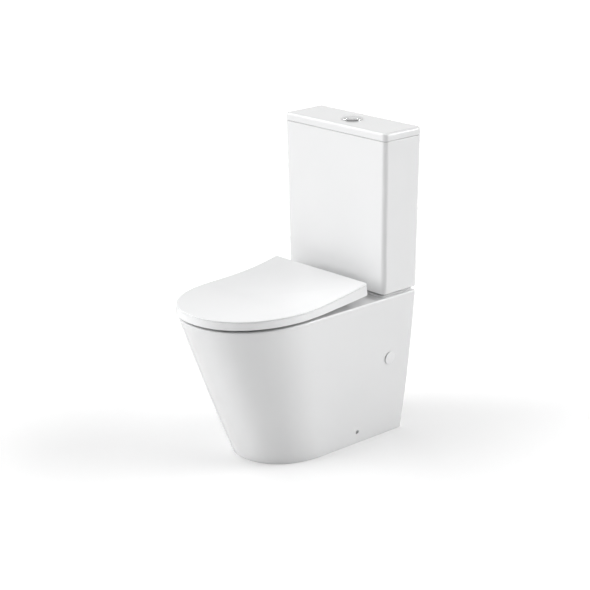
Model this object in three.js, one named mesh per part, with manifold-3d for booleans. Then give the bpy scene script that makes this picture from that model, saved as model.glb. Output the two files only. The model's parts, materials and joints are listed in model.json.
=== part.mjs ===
// Close coupled toilet. Millimetres, +Z up, with the nose of the pan pointing along -Y.
// Lengths along Y are counted from the wall face, where the pan and the cistern end. The finished group is
// then moved along Y, to put the origin on the floor under the middle of the toilet.
import * as THREE from 'three';
import { mergeVertices } from 'three/addons/utils/BufferGeometryUtils.js';
import Module from 'manifold-3d';

const wasm = await Module();
wasm.setup();

// ---------------------------------------------------------------- driving dimensions
const gap = 0.3;                                    // left between pieces that touch

const pan = {
  height: 403, wall: 12, deck: 20, corner: 9,
  halfTop: 176, halfFloor: 129,                     // half widths at the rim and on the floor
  bendTop: -400, bendFloor: -300,                   // where the straight sides turn into the nose
  noseTop: -622, noseFloor: -457,
  sideBulge: 0.4, noseBulge: 0.08,                  // how far the walls bow out of a straight taper
  backOpening: { half: 95, top: 330 },
};
const plinth = { half: 165, front: -120, rise: 5, corner: 12 };
const bowl = {
  thickness: 11, bottom: 112,
  top: 398,                                         // of the outside, under the lip of the rim
  // height, half width, front and rear of the inside
  levels: [
    [112, 30, -382, -322], [150, 38, -398, -308], [195, 52, -440, -290], [245, 82, -503, -266],
    [305, 109, -551, -243], [370, 123, -575, -230], [404, 118, -570, -232],
  ],
};
const trap = {
  inner: 28, outer: 37, outletHeight: 185,
  // down from the sump, round the dip, over the weir and out to the wall
  route: [[-352, 200], [-352, 160], [-338, 130], [-308, 118], [-278, 130], [-258, 165], [-240, 205],
    [-205, 232], [-168, 218], [-135, 192], [-95, 185], [-50, 185]],
};
const flushway = { inner: 24, outer: 33, height: 335, top: 384, mouth: 374 };
const inlet = { y: -64, recess: 47, recessFloor: 388, boss: 57, bossBottom: 370 };

const cistern = {
  bottom: 414, top: 822, wall: 9, floor: 12, corner: 13,
  halfTop: 185, halfBottom: 178.5, frontTop: -135, frontBottom: -128,
};
const floorTop = cistern.bottom + cistern.floor;
const lid = { half: 186.5, front: -136.5, top: 843, corner: 14, wall: 12, plate: 9 };

const seat = {
  half: 180, rearHalf: 174, bend: -400, nose: -628, rear: -178, corner: 8,
  lidBottom: 411, lidTop: 433, lidWall: 5, lidLean: 2.6, lidEdge: 1.8, crown: 2,
  riseFrom: -430, riseRate: 0.000415, bottomRise: 0.6,   // the lid sweeps up towards its hinge
  ringBottom: 406.5, ringTop: 423, ringInset: 13, ringRearHalf: 140, ringRear: -222,
  holeHalf: 108, holeFront: -560, holeRear: -262,
};
const hinge = { y: -200, z: 436, x: 75, pin: 4, knuckle: 10, seatKnuckle: 10.5, damper: 7.5 };

const button = { y: -68, ring: 28.5, flange: 26.9, cup: 24.4, bore: 21.2, disc: 20.2, split: -5, top: 847.8 };
const rodX = { half: -13, full: 9 };                // push rods under the two halves of the button
const bolt = { x: 85, y: -64, shank: 4, hole: 6 };
const fill = { x: -135, y: -64, shank: 9, riser: 12, hole: 16 };
const core = { tube: 17, bore: 15, top: 690 };
const cap = { y: -82, z: 228, radius: 18, hole: 15 };
const sideScrew = { y: -175, z: 34, hole: 5.6, shank: 3 };

// ---------------------------------------------------------------- materials
function finish(color, roughness, metalness = 0) {
  return new THREE.MeshStandardMaterial({ color, roughness, metalness });
}
const china = finish(0xf1f2f3, 0.12);
const seatPlastic = finish(0xf4f5f6, 0.2);
const valvePlastic = finish(0xdfe2e4, 0.45);
const bluePlastic = finish(0x5f7f9c, 0.45);
const softRubber = finish(0x2b2c2e, 0.8);
const clearRubber = finish(0xd6d9da, 0.6);
const chrome = finish(0xc9ccd0, 0.08, 1);
const steel = finish(0xa9adb1, 0.3, 1);

// ---------------------------------------------------------------- small geometry helpers
const mix = (a, b, t) => a + (b - a) * t;
const bowed = (t, bulge) => t + bulge * t * (1 - t);

// A closed mesh as a manifold solid, and a manifold solid back as a three.js geometry
function solidOf(geometry) {
  const plain = geometry.clone();
  plain.deleteAttribute('normal');
  plain.deleteAttribute('uv');
  const merged = mergeVertices(plain, 1e-3);
  return new wasm.Manifold(new wasm.Mesh({
    numProp: 3,
    vertProperties: new Float32Array(merged.attributes.position.array),
    triVerts: new Uint32Array(merged.index.array),
  }));
}

function geometryOf(solid) {
  const mesh = solid.getMesh();
  const geometry = new THREE.BufferGeometry();
  geometry.setAttribute('position', new THREE.BufferAttribute(mesh.vertProperties, 3));
  geometry.setIndex(new THREE.BufferAttribute(mesh.triVerts, 1));
  return geometry;
}

// The two ends of a stretch of X on one side of the middle plane, in rising order
const onSide = (side, ends) => ends.map((x) => side * x).sort((a, b) => a - b);

const joined = (first, ...rest) => rest.reduce((sum, geometry) => sum.add(solidOf(geometry)), solidOf(first));
const cut = (solid, ...tools) => tools.reduce((left, geometry) => left.subtract(solidOf(geometry)), solid);

// Solid through a stack of rings, lowest first, each a list of [x, y, z] running anticlockwise
function loft(rings) {
  const count = rings[0].length;
  const positions = rings.flat(2);
  const index = [];
  for (let r = 0; r < rings.length - 1; r++) {
    for (let i = 0; i < count; i++) {
      const a = r * count + i;
      const b = r * count + (i + 1) % count;
      index.push(a, b, b + count, a, b + count, a + count);
    }
  }
  for (const [r, upward] of [[0, false], [rings.length - 1, true]]) {
    const middle = [0, 1, 2].map((k) => rings[r].reduce((sum, p) => sum + p[k], 0) / count);
    positions.push(...middle);
    const centre = positions.length / 3 - 1;
    for (let i = 0; i < count; i++) {
      const a = r * count + i;
      const b = r * count + (i + 1) % count;
      index.push(centre, upward ? a : b, upward ? b : a);
    }
  }
  const geometry = new THREE.BufferGeometry();
  geometry.setAttribute('position', new THREE.Float32BufferAttribute(positions, 3));
  geometry.setIndex(index);
  return geometry;
}

const atHeight = (outline, z) => outline.map(([x, y]) => [x, y, z]);

// Plan outline with straight sides, rounded rear corners and a superellipse nose
function noseOutline({ half, rearHalf = half, rear, bend, nose, corner, sideSteps = 0 }) {
  const points = [];
  const [power, steps] = [2.15, 24];
  const bulge = (v) => Math.sign(v) * Math.abs(v) ** (2 / power);
  for (let i = 0; i <= steps; i++) {
    const angle = Math.PI * (1 + i / steps);
    points.push([half * bulge(Math.cos(angle)), bend + (bend - nose) * bulge(Math.sin(angle))]);
  }
  const { smoothstep } = THREE.MathUtils;
  const side = (t) => [mix(half, rearHalf, smoothstep(t, 0, 0.7)), mix(bend, rear - corner, t)];
  for (let i = 1; i <= sideSteps; i++) points.push(side(i / (sideSteps + 1)));
  for (let i = 0; i <= 6; i++) {
    const angle = Math.PI * i / 6;
    const centre = Math.sign(3 - i) * (rearHalf - corner);
    if (i === 3) continue;
    points.push([centre + corner * Math.cos(angle), rear - corner + corner * Math.sin(angle)]);
  }
  for (let i = sideSteps; i >= 1; i--) {
    const [x, y] = side(i / (sideSteps + 1));
    points.push([-x, y]);
  }
  return points;
}

function ovalOutline({ half, front, rear, steps = 32 }) {
  const middle = (front + rear) / 2;
  return Array.from({ length: steps }, (_, i) => {
    const angle = 2 * Math.PI * i / steps;
    return [half * Math.cos(angle), middle + (rear - front) / 2 * Math.sin(angle)];
  });
}

// Rectangle from front to the wall side with four round corners
function boxOutline({ half, front, rear, corner, steps = 4 }) {
  const points = [];
  const corners = [[1, rear - corner], [-1, rear - corner], [-1, front + corner], [1, front + corner]];
  corners.forEach(([side, y], quarter) => {
    for (let i = 0; i <= steps; i++) {
      const angle = Math.PI / 2 * (quarter + i / steps);
      points.push([side * (half - corner) + corner * Math.cos(angle), y + corner * Math.sin(angle)]);
    }
  });
  return points;
}

// Round piece about a vertical axis: profile is a list of [radius, z], closed on the axis or on itself
function turned(profile, { x = 0, y = 0, segments = 20 } = {}) {
  const points = profile.map(([radius, z]) => new THREE.Vector2(radius, z));
  return new THREE.LatheGeometry(points, segments).rotateX(Math.PI / 2).translate(x, y, 0);
}

function ringProfile(inner, outer, low, high) {
  return [[inner, low], [outer, low], [outer, high], [inner, high], [inner, low]];
}

const discProfile = (radius, low, high) => [[0, low], [radius, low], [radius, high], [0, high]];

// Hexagonal nut with a round bore
function hexNut(bore, radius, low, high, place) {
  const body = solidOf(turned(discProfile(radius, low, high), { ...place, segments: 6 }));
  return geometryOf(cut(body, turned(discProfile(bore, low - 1, high + 1), { ...place, segments: 16 })));
}

function block(x0, x1, y0, y1, z0, z1) {
  const geometry = new THREE.BoxGeometry(x1 - x0, y1 - y0, z1 - z0);
  return geometry.translate((x0 + x1) / 2, (y0 + y1) / 2, (z0 + z1) / 2);
}

// Cylinder lying along X between x0 and x1
function rodAlongX(radius, x0, x1, y, z, segments = 16) {
  const geometry = new THREE.CylinderGeometry(radius, radius, Math.abs(x1 - x0), segments);
  return geometry.rotateZ(Math.PI / 2).translate((x0 + x1) / 2, y, z);
}

// Round bar through a list of [y, z] points in the middle plane
function pipe(route, radius, segments, steps) {
  const circle = new THREE.Shape().absarc(0, 0, radius, 0, 2 * Math.PI);
  const extrudePath = new THREE.CatmullRomCurve3(route.map(([y, z]) => new THREE.Vector3(0, y, z)));
  const options = { steps, extrudePath, curveSegments: segments, bevelEnabled: false };
  return new THREE.ExtrudeGeometry(circle, options);
}

// ---------------------------------------------------------------- pan and its fixings
function panOutline(z, inset) {
  const t = z / pan.height;
  return noseOutline({
    half: mix(pan.halfFloor, pan.halfTop, bowed(t, pan.sideBulge)) - inset,
    rear: -inset,
    bend: mix(pan.bendFloor, pan.bendTop, t),
    nose: mix(pan.noseFloor, pan.noseTop, bowed(t, pan.noseBulge)) + inset,
    corner: Math.max(pan.corner - inset, 3),
  });
}

// The inside of the bowl, or its outside where extra is the thickness and top the height it stops at
function bowlForm(extra, top) {
  return loft(bowl.levels.map(([z, half, front, rear]) => {
    const height = z === bowl.bottom ? z - extra : Math.min(z, top);
    return atHeight(ovalOutline({ half: half + extra, front: front - extra, rear: rear + extra }), height);
  }));
}

// Outsides of the bowl, trapway and flushway, let out where they make room for each other
const bowlOutside = (room = 0) => bowlForm(bowl.thickness + room, bowl.top + room);
const trapOutside = (room = 0) => pipe([...trap.route, [room - 6, trap.outletHeight]], trap.outer + room,
  12, 20);

function flushOutside(room = 0) {
  const { mouth, height, outer, top } = flushway;
  const route = [[inlet.y, mouth], [-96, 352], [-160, height], [-232, height]];
  return geometryOf(cut(solidOf(pipe(route, outer + room, 12, 8)), block(-50, 50, -120, 0, top + room, 420)));
}

const bowlInside = () => bowlForm(0, pan.height + 1);
const trapInside = () => pipe([...trap.route, [2, trap.outletHeight]], trap.inner, 12, 20);
const flushInside = () => pipe([[inlet.y, inlet.recessFloor + 2], [inlet.y, flushway.mouth], [-96, 352],
  [-160, flushway.height], [-262, flushway.height]], flushway.inner, 12, 10);

// The skirt with its deck and rim. The bowl and the two waterways hang inside it
function panBody() {
  const outerLevels = [0, 0.12, 0.3, 0.5, 0.7, 0.86].map((t) => [t * pan.height, 0]);
  outerLevels.push([pan.height - 4, 0], [pan.height - 1.2, 1.2], [pan.height, 4]);
  const skin = outerLevels.map(([z, inset]) => atHeight(panOutline(z, inset), z));
  const underside = pan.height - pan.deck;
  const hollow = [-1, 100, 200, 300, underside].map((z) => atHeight(panOutline(z, pan.wall), z));
  const back = pan.backOpening;
  const shell = cut(solidOf(loft(skin)), loft(hollow), block(-back.half, back.half, -20, 1, -1, back.top));

  const plinthTop = pan.height + plinth.rise;
  const plinthOutline = (inset) => boxOutline({
    half: plinth.half - inset, front: plinth.front + inset, rear: -2, corner: plinth.corner,
  });
  const stepLevels = [[pan.height - 2, 0], [plinthTop - 1.5, 0], [plinthTop, 1.5]];
  const step = loft(stepLevels.map(([z, inset]) => atHeight(plinthOutline(inset), z)));
  const aroundInlet = { y: inlet.y, segments: 24 };
  const boss = turned(discProfile(inlet.boss, inlet.bossBottom, pan.height - 1), aroundInlet);

  let body = cut(shell.add(joined(step, boss)), bowlOutside(gap), trapOutside(gap), flushOutside(gap),
    bowlInside(), trapInside(), flushInside(),
    turned(discProfile(inlet.recess, inlet.recessFloor, plinthTop + 2), aroundInlet),
    turned(discProfile(fill.hole, underside - 2, plinthTop + 2), { x: fill.x, y: fill.y }));
  for (const side of [-1, 1]) {
    const boltHole = { x: side * bolt.x, y: bolt.y, segments: 14 };
    const studHole = { x: side * hinge.x, y: hinge.y, segments: 14 };
    body = cut(body,
      turned(discProfile(bolt.hole, underside - 2, plinthTop + 2), boltHole),
      turned(discProfile(7, underside - 2, pan.height + 2), studHole),
      rodAlongX(cap.hole, side * 120, side * 180, cap.y, cap.z, 20),
      rodAlongX(sideScrew.hole, side * 100, side * 150, sideScrew.y, sideScrew.z, 14));
  }
  return geometryOf(body);
}

const panBowl = () => geometryOf(cut(solidOf(bowlOutside()), bowlInside(), trapInside(), flushInside()));

const panTrapway = () => geometryOf(cut(solidOf(trapOutside()), trapInside(), bowlOutside(gap)));

const panFlushway = () => geometryOf(cut(solidOf(flushOutside()), flushInside(), bowlOutside(gap)));

// Domed round cap with a plug behind it, built pointing along +Z
const sideCap = () => turned([
  [0, -7], [cap.hole - 1.2, -7], [cap.hole - 1.2, gap], [cap.radius, gap], [cap.radius, 2],
  [cap.radius - 1.2, 3], [0, 3.4],
]);

function placeSideCap(mesh, side) {
  const slope = 0.11;                               // outward lean of the pan wall at the cap's height
  const t = cap.z / pan.height;
  const wallX = mix(pan.halfFloor, pan.halfTop, bowed(t, pan.sideBulge));
  mesh.rotation.y = side * (Math.PI / 2 + Math.atan(slope));
  mesh.position.set(side * (wallX + gap), cap.y, cap.z);
}

function floorBracket(side) {
  const foot = block(58, 115, sideScrew.y - 22, sideScrew.y + 22, 0, 4);
  const upright = block(111, 115, sideScrew.y - 22, sideScrew.y + 22, 2, 56);
  const bracket = cut(joined(foot, upright),
    rodAlongX(sideScrew.shank + 0.6, 105, 125, sideScrew.y, sideScrew.z, 12),
    turned(discProfile(4.5, -1, 6), { x: 80, y: sideScrew.y, segments: 14 }));
  return mirrored(geometryOf(bracket), side);
}

function bracketScrew(side) {
  const shank = rodAlongX(sideScrew.shank, 100, 119, sideScrew.y, sideScrew.z, 12);
  const head = rodAlongX(5, 118, 122, sideScrew.y, sideScrew.z, 12);
  return mirrored(geometryOf(joined(shank, head)), side);
}

// A geometry made for the +X side, or its mirror image for the -X side with its faces turned back out
function mirrored(geometry, side) {
  if (side > 0) return geometry;
  const copy = geometry.clone().scale(-1, 1, 1);
  const index = copy.index.array;
  for (let i = 0; i < index.length; i += 3) [index[i], index[i + 1]] = [index[i + 1], index[i]];
  return copy;
}

// ---------------------------------------------------------------- coupling of cistern and pan
const couplingGasket = () => turned(ringProfile(38.6, 46, inlet.recessFloor + gap, cistern.bottom - gap),
  { y: inlet.y, segments: 24 });

function cisternBolt(side) {
  const head = floorTop + 4 + 2 * gap;
  return turned([[0, 358], [bolt.shank, 358], [bolt.shank, head], [10, head], [10, head + 4], [6, head + 6],
    [0, head + 6]], { x: side * bolt.x, y: bolt.y, segments: 14 });
}

const boltWasher = (side) => turned(
  ringProfile(bolt.shank + gap, 14, floorTop + gap, floorTop + gap + 4),
  { x: side * bolt.x, y: bolt.y, segments: 16 });

function wingNut(side) {
  const top = pan.height - pan.deck - gap;
  const hub = turned(discProfile(10, top - 10, top), { x: side * bolt.x, y: bolt.y, segments: 16 });
  const wings = block(side * bolt.x - 21, side * bolt.x + 21, bolt.y - 2, bolt.y + 2, top - 12, top - 2);
  const thread = turned(discProfile(bolt.shank + gap, top - 14, top + 1),
    { x: side * bolt.x, y: bolt.y, segments: 14 });
  return geometryOf(cut(joined(hub, wings), thread));
}

// ---------------------------------------------------------------- cistern and its lid
function cisternOutline(z, inset) {
  const t = (z - cistern.bottom) / (cistern.top - cistern.bottom);
  return boxOutline({
    half: mix(cistern.halfBottom, cistern.halfTop, t) - inset,
    front: mix(cistern.frontBottom, cistern.frontTop, t) + inset,
    rear: -inset,
    corner: Math.max(cistern.corner - inset, 4),
  });
}

function cisternBody() {
  const { bottom, top, wall, floor } = cistern;
  const skin = [[bottom, 4], [bottom + 1.2, 1.2], [bottom + 4, 0], [top, 0]];
  const inside = [[bottom + floor, wall + 6], [bottom + floor + 6, wall], [top + 1, wall]];
  const through = [bottom - 1, bottom + floor + 1];
  return geometryOf(cut(
    solidOf(loft(skin.map(([z, inset]) => atHeight(cisternOutline(z, inset), z)))),
    loft(inside.map(([z, inset]) => atHeight(cisternOutline(z, inset), z))),
    turned(discProfile(30.4, ...through), { y: inlet.y, segments: 24 }),
    turned(discProfile(fill.shank + 0.5, ...through), { x: fill.x, y: fill.y, segments: 16 }),
    turned(discProfile(bolt.hole, ...through), { x: bolt.x, y: bolt.y, segments: 14 }),
    turned(discProfile(bolt.hole, ...through), { x: -bolt.x, y: bolt.y, segments: 14 })));
}

function cisternLid() {
  const { half, front, top, corner, wall, plate } = lid;
  const bottom = cistern.top + gap;
  const outline = (inset) => boxOutline({
    half: half - inset, front: front + inset, rear: -Math.min(inset, 5), corner: Math.max(corner - inset, 4),
  });
  const skin = [[bottom, 0.8], [bottom + 0.8, 0], [top - 5, 0], [top - 1.5, 1.5], [top, 5]];
  const pocket = boxOutline({ half: half - wall, front: front + wall, rear: -wall, corner: 6 });
  return geometryOf(cut(
    solidOf(loft(skin.map(([z, inset]) => atHeight(outline(inset), z)))),
    loft([atHeight(pocket, bottom - 1), atHeight(pocket, top - plate)]),
    turned(discProfile(button.cup + 0.4, bottom, top + 1), { y: button.y, segments: 28 })));
}

// ---------------------------------------------------------------- push button in the cistern lid
const buttonRing = () => turned([
  [20.8, 845.1], [27.3, 845.1], [27.3, lid.top + gap], [button.ring, lid.top + gap], [button.ring, 844.7],
  [26.6, 846.3], [24, 847.2], [21.6, 847.2], [20.8, 846.6], [20.8, 845.1],
], { y: button.y, segments: 36 });

function buttonHousing() {
  const cup = turned([
    [0, 815], [button.cup, 815], [button.cup, lid.top + gap], [button.flange, lid.top + gap],
    [button.flange, 844.8], [button.bore, 844.8], [button.bore, 818], [0, 818],
  ], { y: button.y, segments: 28 });
  const rodHole = (x) => turned(discProfile(4, 814, 819), { x, y: button.y, segments: 12 });
  return geometryOf(cut(solidOf(cup), rodHole(rodX.half), rodHole(rodX.full)));
}

const housingNut = () => turned(
  ringProfile(button.cup + 2 * gap, 31.5, lid.top - lid.plate - gap - 7, lid.top - lid.plate - gap),
  { y: button.y, segments: 24 });

// Part of the round button face on one side of the split line
function flushButton(part) {
  const disc = turned([[0, 838], [button.disc, 838], [button.disc, button.top - 1],
    [button.disc - 1.2, button.top], [0, button.top + 0.6]], { y: button.y, segments: 36 });
  const edge = button.split + (part === 'half' ? -gap : gap);
  const away = part === 'half' ? block(edge, 40, -110, -20, 830, 860) : block(-40, edge, -110, -20, 830, 860);
  return geometryOf(cut(solidOf(disc), away));
}

const pushRod = (x) => turned([[0, 742], [4, 742], [4, 746], [3, 748], [3, 838 - gap], [0, 838 - gap]],
  { x, y: button.y, segments: 12 });

// Return spring round a push rod, shown at the length it has when the button is down
function buttonSpring(x) {
  class Helix extends THREE.Curve {
    getPoint(t, target = new THREE.Vector3()) {
      const angle = 2 * Math.PI * 3 * t;
      return target.set(x + 5.4 * Math.cos(angle), button.y + 5.4 * Math.sin(angle), mix(819.6, 830, t));
    }
  }
  const wire = new THREE.Shape().absarc(0, 0, 0.8, 0, 2 * Math.PI);
  const extrudePath = new Helix();
  return new THREE.ExtrudeGeometry(wire, { steps: 36, extrudePath, curveSegments: 3, bevelEnabled: false });
}

// ---------------------------------------------------------------- flush valve
const flushValveBase = () => turned([
  [25, 396], [30, 396], [30, floorTop + gap], [40, floorTop + gap], [40, floorTop + 5], [33, floorTop + 5],
  [31, floorTop + 14], [27, floorTop + 14], [25, floorTop + 12], [25, 396],
], { y: inlet.y, segments: 24 });

const flushValveNut = () => turned(ringProfile(30.4, 38, 401, cistern.bottom - gap),
  { y: inlet.y, segments: 24 });

function flushValveCage() {
  const foot = floorTop + 5 + gap;
  const top = 650;
  const tower = turned([
    [36, foot], [41, foot], [41, foot + 12], [39, foot + 16], [39, top], [core.tube + 1.5, top],
    [core.tube + 1.5, top - 4], [36, top - 4], [36, foot],
  ], { y: inlet.y, segments: 24 });
  const windows = [[foot + 20, 520], [540, 630]].flatMap(([low, high]) => [
    block(-60, 60, inlet.y - 17, inlet.y + 17, low, high),
    block(-17, 17, inlet.y - 60, inlet.y + 60, low, high),
  ]);
  return geometryOf(cut(solidOf(tower), ...windows));
}

const flushCore = () => turned([
  [core.bore, floorTop + 18], [30, floorTop + 18], [30, floorTop + 21], [core.tube, floorTop + 25],
  [core.tube, core.top], [core.bore, core.top], [core.bore, floorTop + 18],
], { y: inlet.y, segments: 24 });

const coreSeal = () => turned(ringProfile(18, 31.5, floorTop + 14 + gap, floorTop + 18 - gap),
  { y: inlet.y, segments: 24 });

// ---------------------------------------------------------------- fill valve
const fillPlace = { x: fill.x, y: fill.y, segments: 18 };
const fillHead = 640;

const fillValveBody = () => turned([
  [6, 372], [fill.shank, 372], [fill.shank, floorTop + 3 + 2 * gap], [16, floorTop + 3 + 2 * gap],
  [16, floorTop + 8], [fill.riser, floorTop + 9], [fill.riser, fillHead], [7, fillHead], [6, 372],
], fillPlace);

const fillValveWasher = () => turned(
  ringProfile(fill.shank + gap, 15, floorTop + gap, floorTop + 3 + gap), fillPlace);

const fillValveNut = () => hexNut(fill.shank + 0.5, 14, 400, cistern.bottom - gap, fillPlace);

const fillValveCap = () => turned([
  [0, fillHead + gap], [19, fillHead + gap], [19, fillHead + 14], [15, fillHead + 20], [0, fillHead + 22],
], fillPlace);

const fillFloat = () => turned([
  [fill.riser + 0.8, 470], [24, 470], [26, 474], [26, 526], [23, 530], [fill.riser + 0.8, 530],
  [fill.riser + 0.8, 470],
], fillPlace);

const fillLever = () => block(fill.x + 20, fill.x + 54, fill.y - 4, fill.y + 4, fillHead + 5, fillHead + 10);

// ---------------------------------------------------------------- seat, lid and hinges
const rise = (y) => seat.riseRate * Math.max(0, y - seat.riseFrom) ** 2;

const seatOutline = (inset) => noseOutline({
  half: seat.half - inset, rearHalf: seat.rearHalf - inset, rear: seat.rear - inset, bend: seat.bend,
  nose: seat.nose + inset, corner: Math.max(seat.corner - inset, 5), sideSteps: 3,
});

// One ring of the lid: height at the nose, inset from the edge, and how much of the sweep it follows
function lidRing(z, inset, sweep, shrink = 1) {
  const middle = (seat.nose + seat.rear) / 2;
  return seatOutline(inset).map(([x, y]) => {
    const py = mix(middle, y, shrink);
    return [x * shrink, py, z + sweep * rise(py)];
  });
}

function lidShape(inset, bottom, top) {
  const lean = inset + seat.lidLean;
  const face = lean + seat.lidEdge;
  return loft([
    lidRing(bottom, inset + 1, seat.bottomRise),
    lidRing(bottom + 1.5, inset, seat.bottomRise),
    lidRing(top - seat.lidEdge, lean, 0.95),
    lidRing(top, face, 1),
    lidRing(top + seat.crown * 0.6, face, 1, 0.75),
    lidRing(top + seat.crown * 0.9, face, 1, 0.45),
    lidRing(top + seat.crown, face, 1, 0.15),
  ]);
}

const knuckleX = { seat: [40, 61.5], post: [63, 87], lid: [89.5, 105] };

function seatLid() {
  const wall = seat.lidWall;
  let body = cut(solidOf(lidShape(0, seat.lidBottom, seat.lidTop)),
    lidShape(wall, seat.lidBottom - 8, seat.lidTop - wall));
  for (const side of [-1, 1]) {
    const [x0, x1] = onSide(side, knuckleX.lid);
    const notch = onSide(side, [knuckleX.seat[0] - 3, knuckleX.lid[0] - 0.5]);
    body = cut(body, block(...notch, seat.rear - 12, seat.rear + 2, seat.lidBottom, hinge.z + 11));
    body = body.add(joined(rodAlongX(hinge.knuckle, x0, x1, hinge.y, hinge.z),
      block(x0, x1, hinge.y - 8, hinge.y + 8, hinge.z, hinge.z + 14)));
    body = cut(body, rodAlongX(hinge.pin + 0.4, x0 - 1, x1 + 1, hinge.y, hinge.z, 14));
  }
  return geometryOf(body);
}

function seatRing() {
  const { ringBottom: low, ringTop: high, ringInset, ringRearHalf, nose, half, bend, ringRear } = seat;
  const outline = (inset) => noseOutline({
    half: half - ringInset - inset, rearHalf: ringRearHalf - inset, rear: ringRear - inset, bend,
    nose: nose + ringInset + inset, corner: 40, sideSteps: 3,
  });
  const hole = (inset) => ovalOutline({
    half: seat.holeHalf - inset, front: seat.holeFront + inset, rear: seat.holeRear - inset,
  });
  const outer = loft([[low, 2], [low + 2, 0], [high - 6, 0], [high - 2, 2.5], [high, 9]].map(
    ([z, inset]) => atHeight(outline(inset), z)));
  const opening = loft([[low - 1, -4], [low + 4, 0], [high - 6, 0], [high - 2, -3], [high + 1, -9]].map(
    ([z, inset]) => atHeight(hole(inset), z)));
  let body = cut(solidOf(outer), opening);
  for (const side of [-1, 1]) {
    const [x0, x1] = onSide(side, knuckleX.seat);
    body = body.add(joined(rodAlongX(hinge.seatKnuckle, x0, x1, hinge.y, hinge.z),
      block(x0, x1, ringRear - 16, hinge.y, high - 8, high + 8)));
    body = cut(body, rodAlongX(hinge.damper + gap, x0 - 1, x1 + 1, hinge.y, hinge.z));
  }
  return geometryOf(body);
}

function softCloseDamper(side) {
  const [x0, x1] = onSide(side, [knuckleX.seat[0] + 1, knuckleX.seat[1] - 1]);
  const barrel = rodAlongX(hinge.damper, x0, x1, hinge.y, hinge.z);
  return geometryOf(cut(solidOf(barrel), rodAlongX(hinge.pin + gap, x0 - 1, x1 + 1, hinge.y, hinge.z, 14)));
}

const hingePin = (side) => rodAlongX(hinge.pin, side * (knuckleX.seat[0] + 4), side * (knuckleX.lid[1] - 1),
  hinge.y, hinge.z, 14);

function hingePost(side) {
  const [x0, x1] = onSide(side, knuckleX.post);
  const place = { x: side * hinge.x, y: hinge.y };
  const post = joined(turned(discProfile(20, pan.height + gap, pan.height + 4), place),
    block(x0, x1, hinge.y - 8, hinge.y + 8, pan.height + 2, hinge.z), rodAlongX(9, x0, x1, hinge.y, hinge.z));
  return geometryOf(cut(post, rodAlongX(hinge.pin + gap, x0 - 1, x1 + 1, hinge.y, hinge.z, 14),
    turned(discProfile(bolt.shank + gap, pan.height - 1, pan.height + 17), { ...place, segments: 14 })));
}

const seatStud = (side) => turned(discProfile(bolt.shank, 352, pan.height + 16),
  { x: side * hinge.x, y: hinge.y, segments: 14 });

function coneWasher(side) {
  const top = pan.height - pan.deck - gap;
  const bore = bolt.shank + gap;
  return turned([[bore, top - 8], [12, top - 8], [14, top - 5], [14, top], [bore, top], [bore, top - 8]],
    { x: side * hinge.x, y: hinge.y, segments: 16 });
}

function seatNut(side) {
  const top = pan.height - pan.deck - 8 - 2 * gap;
  return hexNut(bolt.shank + gap, 11, top - 9, top, { x: side * hinge.x, y: hinge.y });
}

const seatBuffer = ([x, y]) => turned(discProfile(8, pan.height + 0.4, seat.ringBottom - gap),
  { x, y, segments: 14 });

const lidBuffer = ([x, y]) => turned(discProfile(7, seat.ringTop + gap, seat.lidTop - seat.lidWall - gap),
  { x, y, segments: 14 });

// ---------------------------------------------------------------- assembly
const toilet = new THREE.Group();
toilet.position.y = -seat.nose / 2;

function add(name, geometry, material) {
  const mesh = new THREE.Mesh(geometry, material);
  mesh.name = name;
  toilet.add(mesh);
  return mesh;
}

add('pan', panBody(), china);
add('pan_bowl', panBowl(), china);
add('pan_trapway', panTrapway(), china);
add('pan_flushway', panFlushway(), china);
add('close_coupling_gasket', couplingGasket(), softRubber);
add('cistern', cisternBody(), china);
add('cistern_lid', cisternLid(), china);

for (const [name, side] of [['left', -1], ['right', 1]]) {
  placeSideCap(add(`side_cap_${name}`, sideCap(), seatPlastic), side);
  add(`floor_bracket_${name}`, floorBracket(side), steel);
  add(`bracket_screw_${name}`, bracketScrew(side), steel);
  add(`cistern_bolt_${name}`, cisternBolt(side), steel);
  add(`bolt_washer_${name}`, boltWasher(side), softRubber);
  add(`wing_nut_${name}`, wingNut(side), valvePlastic);
  add(`hinge_post_${name}`, hingePost(side), chrome);
  add(`hinge_pin_${name}`, hingePin(side), steel);
  add(`seat_stud_${name}`, seatStud(side), steel);
  add(`cone_washer_${name}`, coneWasher(side), softRubber);
  add(`seat_nut_${name}`, seatNut(side), valvePlastic);
  add(`soft_close_damper_${name}`, softCloseDamper(side), valvePlastic);
  add(`seat_buffer_front_${name}`, seatBuffer([side * 126, -500]), clearRubber);
  add(`seat_buffer_rear_${name}`, seatBuffer([side * 114, -280]), clearRubber);
  add(`lid_buffer_${name}`, lidBuffer([side * 128, -490]), clearRubber);
}

add('button_ring', buttonRing(), chrome);
add('button_housing', buttonHousing(), valvePlastic);
add('housing_nut', housingNut(), valvePlastic);
for (const part of ['half', 'full']) {
  add(`${part}_flush_button`, flushButton(part), chrome);
  add(`${part}_flush_rod`, pushRod(rodX[part]), valvePlastic);
  add(`${part}_flush_spring`, buttonSpring(rodX[part]), steel);
}

add('flush_valve_base', flushValveBase(), valvePlastic);
add('flush_valve_nut', flushValveNut(), valvePlastic);
add('flush_valve_cage', flushValveCage(), valvePlastic);
add('flush_valve_core', flushCore(), bluePlastic);
add('flush_valve_seal', coreSeal(), softRubber);
add('fill_valve_body', fillValveBody(), valvePlastic);
add('fill_valve_washer', fillValveWasher(), softRubber);
add('fill_valve_nut', fillValveNut(), valvePlastic);
add('fill_valve_cap', fillValveCap(), bluePlastic);
add('fill_valve_float', fillFloat(), valvePlastic);
add('fill_valve_lever', fillLever(), bluePlastic);
add('seat_ring', seatRing(), seatPlastic);
add('seat_lid', seatLid(), seatPlastic);

export default toilet;
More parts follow.
